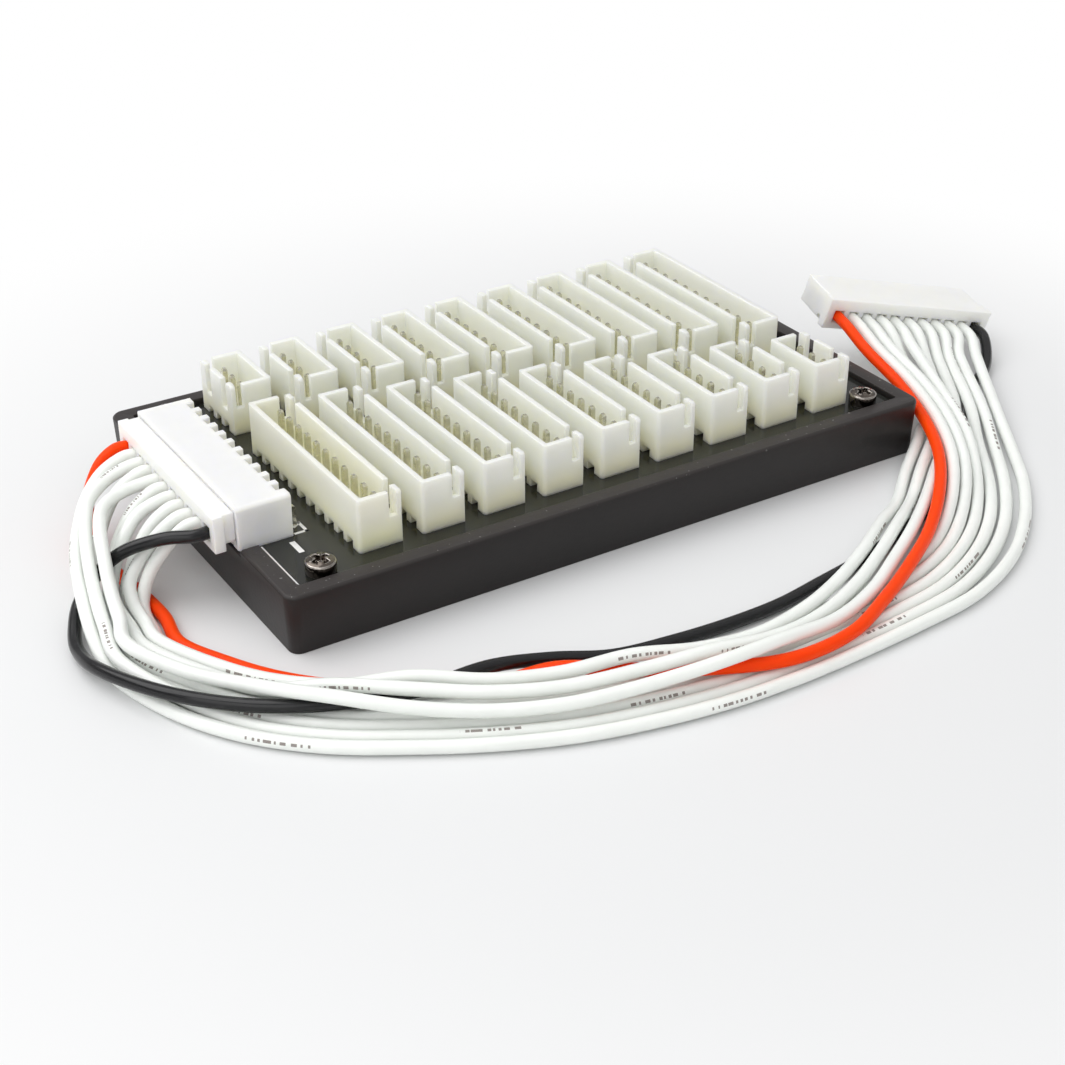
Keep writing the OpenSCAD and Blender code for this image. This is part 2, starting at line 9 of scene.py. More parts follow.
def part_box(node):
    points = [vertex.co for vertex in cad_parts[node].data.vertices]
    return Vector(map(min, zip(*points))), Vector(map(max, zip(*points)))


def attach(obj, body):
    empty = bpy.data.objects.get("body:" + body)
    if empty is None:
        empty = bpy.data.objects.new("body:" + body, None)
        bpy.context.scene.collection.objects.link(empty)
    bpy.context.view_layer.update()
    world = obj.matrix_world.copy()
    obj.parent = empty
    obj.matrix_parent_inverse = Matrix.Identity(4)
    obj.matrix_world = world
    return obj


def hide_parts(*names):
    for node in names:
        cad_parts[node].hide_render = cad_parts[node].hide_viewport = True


bl_info = {
    "name": "Balance Lead Adapter",
    "version": (1, 0, 0),
    "blender": (4, 5, 0),
    "location": "3D View > Sidebar > Adapter",
    "description": "Finishes the pieces of a balance lead adapter board and sets a plain studio round it",
    "category": "Object",
}

MM = 0.001
BODY = "root"
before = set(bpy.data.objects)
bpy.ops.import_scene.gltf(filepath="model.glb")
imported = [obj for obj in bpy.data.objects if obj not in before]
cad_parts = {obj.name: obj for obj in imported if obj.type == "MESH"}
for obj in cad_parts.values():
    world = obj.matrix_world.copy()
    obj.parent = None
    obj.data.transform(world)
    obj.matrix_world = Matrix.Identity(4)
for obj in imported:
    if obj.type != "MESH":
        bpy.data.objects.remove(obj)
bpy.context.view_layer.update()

COLUMNS = 9
WAYS = 11
PITCH = 2.5 * MM
FRONT_HEADERS = [f"header_front_{k}" for k in range(1, COLUMNS + 1)]
BACK_HEADERS = [f"header_back_{k}" for k in range(1, COLUMNS + 1)]
FRONT_PINS = [f"pins_front_{k}" for k in range(1, COLUMNS + 1)]
BACK_PINS = [f"pins_back_{k}" for k in range(1, COLUMNS + 1)]
WHITE_WIRES = [f"wire_white_{k}" for k in range(1, WAYS - 1)]
WIRES = ["wire_red"] + WHITE_WIRES + ["wire_black"]

# The lead's route in millimetres: stations along a spine, each a place and a heading in degrees
STATIONS = [
    (-62, -20, -75), (-58.6, -27.5, -58), (-53.6, -34, -47), (-47.6, -39.8, -40), (-41, -44.6, -33),
    (-33.8, -48.8, -27), (-26.2, -52, -19), (-18.2, -54.2, -12), (-10, -55.6, -6), (-1.6, -56, 1),
    (6.8, -55.4, 8), (15, -53.6, 17), (22.8, -50.6, 26), (30.2, -46.4, 33), (37, -41.4, 39),
    (43.2, -35.6, 47), (48.6, -29, 54), (53.4, -21.6, 60),
]
# Height of the middle of a wire that lies on the table
LOW = 0.9
# Each wire's distance out from the spine and its height at every station
LANES = {
    "wire_red": [
        (-5.4, LOW), (-5.3, LOW), (-4.6, LOW), (-4.4, LOW), (-4.8, LOW), (-4.85, LOW), (-4.6, 2.6),
        (-1.8, 2.65), (1.4, 2.65), (4.2, 2.65), (4.4, 2.65), (2.6, 2.65), (1.4, 2.65), (0.9, 2.65),
        (0.4, 3.6), (-0.4, 4.4), (-1.8, 5), (-4.1, 6.2)],
    "wire_white_1": [
        (-3.6, LOW), (-3.5, LOW), (-2.8, LOW), (-2.6, LOW), (-3, LOW), (-3.1, LOW), (-3.1, LOW),
        (-3.2, LOW), (-3.4, LOW), (-3.4, LOW), (-3, LOW), (-1.8, LOW), (0.2, LOW), (1.7, LOW), (2, 2.4),
        (1.4, 4), (0, 5), (-2.2, 6.2)],
    "wire_white_2": [
        (-1.8, LOW), (-1.7, LOW), (-1, LOW), (-0.8, LOW), (-1.2, LOW), (-1.4, LOW), (-1.35, LOW),
        (-1.45, LOW), (-1.6, LOW), (-1.6, LOW), (-1.2, LOW), (0, LOW), (2, LOW), (3.4, LOW), (3.6, 1.6),
        (3.1, 3.2), (1.8, 4.6), (-0.3, 5.9)],
    "wire_white_3": [
        (-2.7, 2.5), (-2.5, 2.5), (-1.9, 2.5), (-1.8, 3), (-1.9, 4.45), (-1.6, 4), (-1.7, 4), (-2, 4.45),
        (-1.7, 3.4), (-1.8, 2.65), (-2.6, 2.65), (-3.8, 2.65), (-4.7, 2.65), (-5.2, 2.2), (-4.8, LOW),
        (-4.4, 1.4), (-2.4, 2.4), (0.1, 3.4)],
    "wire_white_4": [
        (0, LOW), (0.05, LOW), (0.8, LOW), (1, LOW), (0.6, LOW), (0.4, LOW), (0.4, LOW), (0.3, LOW),
        (0.2, LOW), (0.2, LOW), (0.6, LOW), (1.9, LOW), (4, LOW), (5.1, LOW), (5.3, LOW), (4.7, 2),
        (3.6, 4), (1.8, 5.2)],
    "wire_white_5": [
        (-0.9, 2.5), (-0.6, 2.6), (-0.1, 2.5), (0, 4.3), (0.5, 4.5), (0.7, 4), (0.7, 3.8), (0.6, 4.2),
        (0.6, 4.45), (0.5, 3.4), (-0.4, 2.65), (-1.6, 2.65), (-2.7, 2.65), (-3.1, 2.65), (-3, 1.6),
        (-2.4, 2.2), (-0.4, 2.65), (2.1, 3)],
    "wire_white_6": [
        (1.4, 4), (1.5, 3.8), (1.9, 4.3), (2.4, 4.5), (2.9, 3.8), (3, 3.2), (3, 3.2), (2.8, 3.7),
        (2.9, 4.45), (2.6, 4.45), (1.9, 3.2), (0.6, 2.65), (-0.7, 2.65), (-1.1, 2.65), (-1.1, 2.65),
        (-0.5, 2.6), (1.5, 2.65), (4.1, 2.8)],
    "wire_white_7": [
        (1.8, LOW), (1.8, LOW), (2.6, LOW), (2.8, LOW), (2.4, LOW), (2.2, LOW), (2.2, LOW), (2.1, LOW),
        (2, LOW), (2, LOW), (2.4, LOW), (3.8, LOW), (5.8, LOW), (6.9, LOW), (7.1, LOW), (6.5, LOW),
        (5.6, 2), (6.1, 2.9)],
    "wire_white_8": [
        (2.7, 2.5), (3.4, 1.8), (4.4, LOW), (4.6, LOW), (4.2, LOW), (4, LOW), (4, LOW), (3.9, LOW),
        (3.8, LOW), (3.8, LOW), (4.2, LOW), (5.6, LOW), (7.7, LOW), (8.8, LOW), (9, LOW), (8.5, LOW),
        (7.9, 1.4), (7.9, 2.6)],
    "wire_white_9": [
        (3.6, LOW), (5, LOW), (6.2, LOW), (6.4, LOW), (6, LOW), (5.8, LOW), (5.8, LOW), (5.7, LOW),
        (5.6, LOW), (5.6, LOW), (6, LOW), (7.4, LOW), (9.8, LOW), (11.2, LOW), (11.4, LOW), (11, LOW),
        (10.3, 1), (10, 2)],
    "wire_black": [
        (5, 2.3), (4.9, 3.1), (3.6, 2.9), (1.2, 2.65), (-1.6, 2.65), (-5.6, 2.9), (-7.8, 1.7), (-7.4, LOW),
        (-7.4, LOW), (-7.2, LOW), (-6.8, LOW), (-6.4, LOW), (-5, LOW), (-3, LOW), (-0.6, LOW), (1.4, LOW),
        (3.6, LOW), (6, LOW)],
}
# Way of the board's plug that each wire comes from, counted from the red end
FROM_WAY = dict(zip(WIRES, [1, 10, 8, 9, 6, 7, 5, 4, 3, 2, 11]))
# Points where the wires fan in from the board's plug
FAN_IN = {
    "wire_red": [(-53.6, 13.4, 7.8), (-56.2, 11, 4.6), (-57.5, 6.2, 2.1), (-57.4, 0, 1), (-56.6, -6, LOW),
                 (-56.2, -12.5, LOW)],
    "wire_white_1": [(-53.6, -8.4, 7.4), (-56.1, -8.5, 4.4), (-57.8, -10.2, 1.7), (-58.4, -14.2, 1)],
    "wire_white_2": [(-54, -4, 7.7), (-56.8, -5.4, 4.6), (-58.8, -7.4, 2), (-59.6, -10, 1),
                     (-60.2, -14.6, LOW)],
    "wire_white_3": [(-53.8, -6.4, 8), (-56.6, -7, 5.6), (-58.4, -8.2, 3.9), (-59.1, -10.8, 2.8),
                     (-59.3, -14.8, 2.5)],
    "wire_white_4": [(-54.4, 0.6, 7.6), (-57.6, -1.8, 4.6), (-60, -5.2, 1.8), (-61.3, -9.4, 1),
                     (-61.9, -14.6, LOW)],
    "wire_white_5": [(-54.4, -1.4, 8.3), (-57.6, -3.4, 5.8), (-59.8, -6.2, 3.4), (-60.8, -9.6, 2.6),
                     (-61.1, -14.8, 2.5)],
    "wire_white_6": [(-54.6, 3.4, 9.2), (-57.6, 1, 9.2), (-59.4, -2.8, 8.7), (-60.5, -6.6, 7.5),
                     (-61.5, -10.6, 5.5), (-62.4, -15.4, 4.5)],
    "wire_white_7": [(-54.6, 5.4, 7.8), (-58, 2.2, 5), (-61, -2.8, 2.6), (-63, -8.8, 1),
                     (-63.8, -14.6, LOW)],
    "wire_white_8": [(-54.4, 8.2, 8.8), (-57.8, 5.2, 8.3), (-60, 0.6, 7.7), (-61.7, -4.4, 6.8),
                     (-63, -9.4, 5.1), (-64, -14.8, 3.5)],
    "wire_white_9": [(-54.2, 10.6, 8.4), (-57.4, 7.8, 7), (-60.2, 3, 6.1), (-62.6, -2.6, 5.7),
                     (-64.3, -8.6, 4.4), (-65.4, -14.8, 2.2)],
    "wire_black": [(-54.2, -9.2, 9.1), (-58, -6.4, 7.2), (-61, -5.4, 4.8), (-63.9, -6.6, 2.6),
                   (-65.9, -9.8, 1.7), (-67.3, -14.5, 1.2)],
}
# Points where they fan out to the free plug
FAN_OUT = {
    "wire_red": [(50.6, -11.6, 8)],
    "wire_white_1": [(52.8, -11.8, 7.6)],
    "wire_white_2": [(55, -12, 7.2)],
    "wire_white_3": [(57.5, -12.2, 4.7)],
    "wire_white_4": [(59, -12.4, 6.4)],
    "wire_white_5": [(61.4, -12.6, 4.3)],
    "wire_white_6": [(63.6, -12.8, 3.9)],
    "wire_white_7": [(65.6, -13, 3.6)],
    "wire_white_8": [(67.6, -13.2, 3.3)],
    "wire_white_9": [(70.2, -14, 3)],
    "wire_black": [(65, -18.4, LOW), (71.8, -14.4, 1.2)],
}
# Middle of each plug's rear face in millimetres, and the free plug's lean in degrees
BOARD_PLUG_AT = (-49.45, 1.45, 9.4)
FREE_PLUG_AT = (64.5, -4.8, 6.4)
FREE_PLUG_TURN = (8, 14, -9)
# Length of a wire inside a plug, and how far it runs straight at the board's plug and behind the free one
WIRE_IN = 0.6
STRAIGHT_IN = 2.2
STRAIGHT_OUT = 3
# Printed lines on the board in millimetres, each a start, an end and a width
MARKS = [
    ((-44.04, -23.8), (-44.04, -13.9), 0.35),
    ((-40.45, -17), (-40.45, -14.95), 0.7),
    ((-38.7, -11.6), (-37.9, -11), 0.4),
    ((-37.8, -11), (-37.8, -13.1), 0.4),
    ((-37.8, -13.1), (-39.2, -13.1), 0.4),
]
# Side round the wire and shift along it of the print on each kind of white wire
WIRE_PRINTS = [(0.18, 0.0), (0.3, 0.45), (0.62, 0.2), (0.24, 0.7)]
# Heights between which the headers turn from the foot's painted glow to their own colour, and where the
# tray's rim gets its painted highlight and its scuffs
PAINTED_GLOW_HEIGHTS = (7 * MM, 12 * MM)
RIM_HEIGHTS = (7.4 * MM, 7.8 * MM)

# The photograph's viewpoint in millimetres, and the camera's two directions
CAMERA_AT = (-116.81, -190.41, 120.45)
CAMERA_AHEAD = (0.46956, 0.72206, -0.50808)
CAMERA_RIGHT = (0.84035, -0.54201, 0.00635)
SENSOR_WIDTH = 36
CLIP_RANGE = (0.01, 20)
# The floor in metres, and the distances from its middle between which it fades to white
FLOOR_COLOUR = (0.78, 0.785, 0.79, 1)
FLOOR_HALF = 3.0
FLOOR_MIDDLE = (0, -0.03, 0)
FLOOR_FADE = (0.06, 0.14)
# Upward parts of a direction between which the backdrop ends and the light overhead begins
BACKDROP_ENDS = (0.1, 0.2)
OVERHEAD_BEGINS = (0.35, 0.8)
# Shares of the sky's strength below and in the light overhead
SKY_SHARES = (0.85, 1.6)
# Place and side of each lamp in metres
KEY_LAMP = ((-0.28, 0.2, 0.6), 0.7)
FILL_LAMP = ((-0.5, -0.4, 0.35), 0.5)


def length_prop(name, description, default):
    """A size in metres that a user can change."""
    return bpy.props.FloatProperty(name=name, description=description, default=default, min=0,
                                   unit="LENGTH", precision=5)


def number_prop(name, description, default, unit="NONE"):
    """A plain value that a user can change."""
    return bpy.props.FloatProperty(name=name, description=description, default=default, unit=unit)


def colour_prop(name, description, default):
    """A scene linear colour that a user can change."""
    return bpy.props.FloatVectorProperty(name=name, description=description, default=default,
                                         subtype="COLOR", size=3, min=0, max=1)


class AdapterSizes(bpy.types.PropertyGroup):
    """Sizes of what is added to the construction."""
    wire_diameter: length_prop("Wire diameter", "Diameter of a wire over its insulation", 1.6 * MM)
    tray_edge: length_prop("Tray edge", "Rounding of the tray's edges", 0.11 * MM)
    housing_edge: length_prop("Housing edge", "Rounding of the edges of headers and plugs", 0.11 * MM)
    screw_edge: length_prop("Screw edge", "Rounding of the edges of the screws", 0.16 * MM)
    pin_side: length_prop("Pin side", "Side of a square pin", 0.64 * MM)
    pin_tip: length_prop("Pin tip", "Length of the taper at a pin's tip", 0.3 * MM)
    pin_flat: length_prop("Pin flat", "Side of the flat at a pin's tip", 0.42 * MM)
    ink_height: length_prop("Ink height", "Thickness of the printed lines on the board", 0.02 * MM)


class AdapterFinish(bpy.types.PropertyGroup):
    """Colours of the pieces."""
    charcoal: colour_prop("Tray", "Moulded tray", (0.0165, 0.014, 0.0135))
    scuff: colour_prop("Scuffs", "Small scuffs on the tray's rim", (0.2, 0.195, 0.19))
    mask: colour_prop("Solder mask", "Face of the circuit board", (0.019, 0.02, 0.017))
    laminate: colour_prop("Laminate", "Cut edges of the circuit board", (0.16, 0.13, 0.06))
    ivory: colour_prop("Headers", "Natural nylon of the headers", (0.905, 0.93, 0.83))
    # The foot colours are painted light: a warm glow through the nylon near the board, lighter than the shade
    # that falls there
    ivory_painted_glow: colour_prop("Header feet", "The same nylon near the board", (0.92, 0.87, 0.64))
    aged: colour_prop("Aged header", "Yellowed nylon of the first header", (0.94, 0.935, 0.78))
    aged_painted_glow: colour_prop("Aged feet", "The same nylon near the board", (0.98, 0.94, 0.62))
    white: colour_prop("Plugs", "White nylon of the plugs and the side header", (0.965, 0.955, 0.9))
    tin: colour_prop("Pins", "Tin plating", (0.78, 0.76, 0.63))
    black_oxide: colour_prop("Screws", "Black oxide on the screws", (0.15, 0.125, 0.105))
    # Painted highlight: a pale colour on the screws' rounded edges in place of the light they catch
    painted_highlight: colour_prop("Screw highlight", "Painted highlight on the screws' edges", (0.5, 0.46, 0.42))
    wire_white: colour_prop("White wires", "Silicone of the white wires", (0.89, 0.915, 0.88))
    wire_red: colour_prop("Red wire", "Silicone of the red wire", (0.98, 0.062, 0.002))
    wire_black: colour_prop("Black wire", "Silicone of the black wire", (0.008, 0.008, 0.009))
    ink: colour_prop("Board print", "White print on the board", (0.9, 0.9, 0.9))
    wire_ink: colour_prop("Wire print", "Grey dashes on the white wires", (0.3, 0.27, 0.25))


class AdapterStage(bpy.types.PropertyGroup):
    """Camera and light."""
    lens: number_prop("Lens", "Focal length of the camera in millimetres", 63.32)
    shift_x: number_prop("Shift X", "Sideways shift of the picture", -0.0281)
    shift_y: number_prop("Shift Y", "Upward shift of the picture", -0.0023)
    sky: number_prop("Sky", "Strength of the light from all round", 0.475)
    key: number_prop("Key", "Power of the large lamp", 3.0, "POWER")
    fill: number_prop("Fill", "Power of the lamp at the left", 1.0, "POWER")


# Shader helpers

def new_material(name):
    """An empty node material and its Principled shader."""
    material = bpy.data.materials.new(name)
    material.use_nodes = True
    shader = material.node_tree.nodes["Principled BSDF"]
    return material, shader


def add(tree, kind, **values):
    """A new node, with its settings and the values of its named inputs."""
    node = tree.nodes.new(kind)
    for key, value in values.items():
        if key in node.inputs:
            node.inputs[key].default_value = value
        else:
            setattr(node, key, value)
    return node


def new_group(name, inputs, outputs):
    """A shader group with named sockets, and its input and output nodes."""
    group = bpy.data.node_groups.new(name, "ShaderNodeTree")
    for label, kind, default in inputs:
        socket = group.interface.new_socket(label, in_out="INPUT", socket_type=kind)
        if default is not None:
            socket.default_value = default
    for label, kind in outputs:
        group.interface.new_socket(label, in_out="OUTPUT", socket_type=kind)
    return group, group.nodes.new("NodeGroupInput"), group.nodes.new("NodeGroupOutput")


def background_rays(tree):
    """One for rays that show the background: from the camera, off gloss and through glass."""
    rays = add(tree, "ShaderNodeLightPath")
    gloss = add(tree, "ShaderNodeMath", operation="MAXIMUM")
    glass = add(tree, "ShaderNodeMath", operation="MAXIMUM")
    tree.links.new(rays.outputs["Is Camera Ray"], gloss.inputs[0])
    tree.links.new(rays.outputs["Is Glossy Ray"], gloss.inputs[1])
    tree.links.new(gloss.outputs["Value"], glass.inputs[0])
    tree.links.new(rays.outputs["Is Transmission Ray"], glass.inputs[1])
    return glass.outputs["Value"]


def ranged(tree, value, low, high, to=(0.0, 1.0), smooth=False):
    """A value taken from one range to another."""
    node = add(tree, "ShaderNodeMapRange", interpolation_type="SMOOTHSTEP" if smooth else "LINEAR")
    for label, number in zip(("From Min", "From Max", "To Min", "To Max"), (low, high, *to)):
        node.inputs[label].default_value = number
    tree.links.new(value, node.inputs["Value"])
    return node.outputs["Result"]


def mixed(tree, factor, first, second):
    """A colour between two by a factor. Each of the two is a socket or a colour."""
    mix = add(tree, "ShaderNodeMix", data_type="RGBA")
    tree.links.new(factor, mix.inputs["Factor"])
    colour_sockets = [socket for socket in mix.inputs if socket.type == "RGBA"]
    for socket, colour in zip(colour_sockets, (first, second)):
        if isinstance(colour, tuple):
            socket.default_value = colour
        else:
            tree.links.new(colour, socket)
    return next(socket for socket in mix.outputs if socket.type == "RGBA")


def product(tree, first, second):
    """Two masks multiplied."""
    times = add(tree, "ShaderNodeMath", operation="MULTIPLY")
    tree.links.new(first, times.inputs[0])
    tree.links.new(second, times.inputs[1])
    return times.outputs["Value"]


def object_place(tree):
    """A place on the piece, or in the world a direction, and how high it is."""
    place = add(tree, "ShaderNodeTexCoord")
    split = add(tree, "ShaderNodeSeparateXYZ")
    tree.links.new(place.outputs["Object"], split.inputs["Vector"])
    return place.outputs["Object"], split.outputs["Z"]


def moulded_surface_group():
    """Fine grain and slow mottling of a moulded or drawn surface, in object space."""
    found = bpy.data.node_groups.get("Moulded surface")
    if found:
        return found
    group, inside, outside = new_group(
        "Moulded surface",
        [("Grain scale", "NodeSocketFloat", 3000.0), ("Mottle scale", "NodeSocketFloat", 120.0)],
        [("Height", "NodeSocketFloat"), ("Mottle", "NodeSocketFloat")])
    place = add(group, "ShaderNodeTexCoord")
    grain = add(group, "ShaderNodeTexNoise", Detail=3.0, Roughness=0.6)
    mottle = add(group, "ShaderNodeTexNoise", Detail=4.0, Roughness=0.55)
    link = group.links.new
    link(place.outputs["Object"], grain.inputs["Vector"])
    link(place.outputs["Object"], mottle.inputs["Vector"])
    link(inside.outputs["Grain scale"], grain.inputs["Scale"])
    link(inside.outputs["Mottle scale"], mottle.inputs["Scale"])
    link(grain.outputs["Fac"], outside.inputs["Height"])
    link(mottle.outputs["Fac"], outside.inputs["Mottle"])
    return group


def two_tone_group():
    """Drifts between two tones by a mask."""
    found = bpy.data.node_groups.get("Two tones")
    if found:
        return found
    group, inside, outside = new_group(
        "Two tones",
        [("Mask", "NodeSocketFloat", 0.5), ("First", "NodeSocketColor", None),
         ("Second", "NodeSocketColor", None)],
        [("Colour", "NodeSocketColor")])
    # Noise seldom leaves this range
    spread = ranged(group, inside.outputs["Mask"], 0.3, 0.7)
    drift = mixed(group, spread, inside.outputs["First"], inside.outputs["Second"])
    group.links.new(drift, outside.inputs["Colour"])
    return group


def rgba(colour, factor=1.0):
    """A colour with alpha, made lighter or darker."""
    return tuple(min(1.0, c * factor) for c in colour[:3]) + (1.0,)


def surface(name, colour, drift, grain, mottle, rough, bump, depth=0.02 * MM):
    """A finish with tone drift, uneven gloss and fine relief. Returns the material and its shader.

    The first tone is the colour times the drift, grain and mottle are scales, and depth is the relief's."""
    material, shader = new_material(name)
    tree = material.node_tree
    link = tree.links.new
    relief = add(tree, "ShaderNodeGroup", node_tree=moulded_surface_group())
    relief.inputs["Grain scale"].default_value = grain
    relief.inputs["Mottle scale"].default_value = mottle
    tones = add(tree, "ShaderNodeGroup", node_tree=two_tone_group())
    tones.inputs["First"].default_value = rgba(colour, drift)
    tones.inputs["Second"].default_value = rgba(colour)
    tones.name = "Tones"
    shape = add(tree, "ShaderNodeBump", Strength=bump, Distance=depth)
    link(relief.outputs["Mottle"], tones.inputs["Mask"])
    link(relief.outputs["Height"], shape.inputs["Height"])
    link(tones.outputs["Colour"], shader.inputs["Base Color"])
    link(ranged(tree, relief.outputs["Mottle"], 0.0, 1.0, rough), shader.inputs["Roughness"])
    link(shape.outputs["Normal"], shader.inputs["Normal"])
    return material, shader


def moulded_tray(finish):
    """Satin black moulding with a fine spark-eroded grain, scuffed along its rim and painted paler there as a
    painted highlight.
    """
    material, shader = surface("Satin black moulding", finish.charcoal, drift=0.7, grain=1700.0, mottle=90.0,
                               rough=(0.34, 0.5), bump=0.5, depth=0.04 * MM)
    shader.inputs["Specular IOR Level"].default_value = 0.35
    tree = material.node_tree
    link = tree.links.new
    place, height = object_place(tree)
    rim = ranged(tree, height, *RIM_HEIGHTS, smooth=True)
    specks = add(tree, "ShaderNodeTexNoise", Scale=1900.0, Detail=1.0)
    link(place, specks.inputs["Vector"])
    # Only the peaks of the noise are scuffs
    peaks = ranged(tree, specks.outputs["Fac"], 0.71, 0.78)
    # The rim's top is painted twice as light: a painted highlight standing in for the bright surroundings
    # reflected there. The scuffs on it are wear.
    painted_highlight = mixed(tree, rim, tree.nodes["Tones"].outputs["Colour"], rgba(finish.charcoal, 2.0))
    link(mixed(tree, product(tree, peaks, rim), painted_highlight, rgba(finish.scuff)), shader.inputs["Base Color"])
    return material


def solder_mask(finish):
    """Black mask on the faces of the board, bare laminate on its edges."""
    material, shader = surface("Black solder mask", finish.mask, drift=0.75, grain=1400.0, mottle=200.0,
                               rough=(0.1, 0.2), bump=0.05)
    tree = material.node_tree
    facing = add(tree, "ShaderNodeNewGeometry")
    split = add(tree, "ShaderNodeSeparateXYZ")
    level = add(tree, "ShaderNodeMath", operation="ABSOLUTE")
    is_edge = add(tree, "ShaderNodeMath", operation="LESS_THAN")
    is_edge.inputs[1].default_value = 0.5
    link = tree.links.new
    link(facing.outputs["True Normal"], split.inputs["Vector"])
    link(split.outputs["Z"], level.inputs[0])
    link(level.outputs["Value"], is_edge.inputs[0])
    face = tree.nodes["Tones"].outputs["Colour"]
    link(mixed(tree, is_edge.outputs["Value"], face, rgba(finish.laminate)), shader.inputs["Base Color"])
    return material


def nylon(name, colour, depth, weight, foot=None):
    """Nylon that lets some light through its thin walls. With a foot colour it turns warmer and lighter
    towards the board, a painted glow that lifts the shade there.
    """
    material, shader = surface(name, colour, drift=0.96, grain=1800.0, mottle=160.0, rough=(0.3, 0.42),
                               bump=0.06)
    # The foot colour is a painted glow that lifts the board's shade from the lower walls
    if foot:
        tree = material.node_tree
        _, height = object_place(tree)
        rise = ranged(tree, height, *PAINTED_GLOW_HEIGHTS, smooth=True)
        blend = mixed(tree, rise, rgba(foot), tree.nodes["Tones"].outputs["Colour"])
        tree.links.new(blend, shader.inputs["Base Color"])
    shader.inputs["Subsurface Weight"].default_value = weight
    shader.inputs["Subsurface Radius"].default_value = (1.0, 0.98, 0.8)
    shader.inputs["Subsurface Scale"].default_value = depth
    shader.inputs["IOR"].default_value = 1.5
    return material


def tin_plate(finish):
    """Tin plating, dulled unevenly."""
    material, shader = surface("Tin plating", finish.tin, drift=0.75, grain=5000.0, mottle=900.0,
                               rough=(0.18, 0.34), bump=0.08, depth=0.01 * MM)
    shader.inputs["Metallic"].default_value = 1.0
    return material


def oxide(name, colour):
    """Black oxide on steel, with a thin oil gloss."""
    material, shader = surface(name, colour, drift=0.5, grain=4000.0, mottle=800.0, rough=(0.1, 0.24),
                               bump=0.1, depth=0.01 * MM)
    shader.inputs["Metallic"].default_value = 1.0
    shader.inputs["Coat Weight"].default_value = 0.3
    shader.inputs["Coat Roughness"].default_value = 0.12
    return material


def dashes_group():
    """Groups of short uneven dashes along one side of a wire, in the wire's own length and girth."""
    found = bpy.data.node_groups.get("Printed dashes")
    if found:
        return found
    group, inside, outside = new_group(
        "Printed dashes",
        [("Groups", "NodeSocketFloat", 5.0), ("Dashes", "NodeSocketFloat", 420.0),
         ("Side", "NodeSocketFloat", 0.2), ("Shift", "NodeSocketFloat", 0.0)],
        [("Mask", "NodeSocketFloat")])
    link = group.links.new
    place = add(group, "ShaderNodeTexCoord")
    split = add(group, "ShaderNodeSeparateXYZ")
    link(place.outputs["UV"], split.inputs["Vector"])

    def along(times):
        """A place along the wire, counted in groups or in dashes."""
        scaled = add(group, "ShaderNodeMath", operation="MULTIPLY_ADD")
        link(split.outputs["X"], scaled.inputs[0])
        link(inside.outputs[times], scaled.inputs[1])
        link(inside.outputs["Shift"], scaled.inputs[2])
        return scaled.outputs["Value"]

    def near(value, reach):
        """A node that puts out one where a value is close to its second input, else nothing."""
        close = add(group, "ShaderNodeMath", operation="COMPARE")
        close.inputs[2].default_value = reach
        link(value, close.inputs[0])
        return close

    # Where in each repeat the dashes are, and over which share of it and of the girth
    group_middle = 0.32
    group_reach = 0.07
    girth_reach = 0.035
    # Level of the noise above which there is ink
    ink_level = 0.48
    part = add(group, "ShaderNodeMath", operation="FRACT")
    link(along("Groups"), part.inputs[0])
    stretch = near(part.outputs["Value"], group_reach)
    stretch.inputs[1].default_value = group_middle
    uneven = add(group, "ShaderNodeTexNoise", noise_dimensions="1D", Scale=1.0, Detail=0.0)
    link(along("Dashes"), uneven.inputs["W"])
    dash = add(group, "ShaderNodeMath", operation="GREATER_THAN")
    dash.inputs[1].default_value = ink_level
    link(uneven.outputs["Fac"], dash.inputs[0])
    strip = near(split.outputs["Y"], girth_reach)
    link(inside.outputs["Side"], strip.inputs[1])
    marks = product(group, stretch.outputs["Value"], dash.outputs["Value"])
    link(product(group, marks, strip.outputs["Value"]), outside.inputs["Mask"])
    return group


def silicone(name, colour, gloss, shine, ink=None, side=0.0, shift=0.0):
    """Glossy silicone insulation. With an ink it carries groups of short dashes on one side."""
    material, shader = surface(name, colour, drift=0.95, grain=2200.0, mottle=260.0, rough=gloss, bump=0.03)
    shader.inputs["Specular IOR Level"].default_value = shine
    shader.inputs["Subsurface Weight"].default_value = 0.8
    shader.inputs["Subsurface Radius"].default_value = (1.0, 1.0, 1.0)
    shader.inputs["Subsurface Scale"].default_value = 0.8 * MM
    if ink:
        tree = material.node_tree
        print_on = add(tree, "ShaderNodeGroup", node_tree=dashes_group())
        print_on.inputs["Side"].default_value = side
        print_on.inputs["Shift"].default_value = shift
        printed = mixed(tree, print_on.outputs["Mask"], tree.nodes["Tones"].outputs["Colour"], rgba(ink))
        tree.links.new(printed, shader.inputs["Base Color"])
    return material


def board_ink(finish):
    """White print on the board."""
    material, _ = surface("Board print", finish.ink, drift=0.85, grain=4000.0, mottle=1500.0,
                          rough=(0.5, 0.65), bump=0.1, depth=0.01 * MM)
    return material


# Mesh helpers

def new_object(name, data, body=BODY):
    """An object for a piece, linked to the scene and riding on a body."""
    piece = bpy.data.objects.new(name, data)
    bpy.context.scene.collection.objects.link(piece)
    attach(piece, body)
    return piece


def finish_node(node, material):
    """Puts a material on a CAD node that is shown as it is."""
    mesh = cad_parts[node].data
    mesh.materials.clear()
    mesh.materials.append(material)


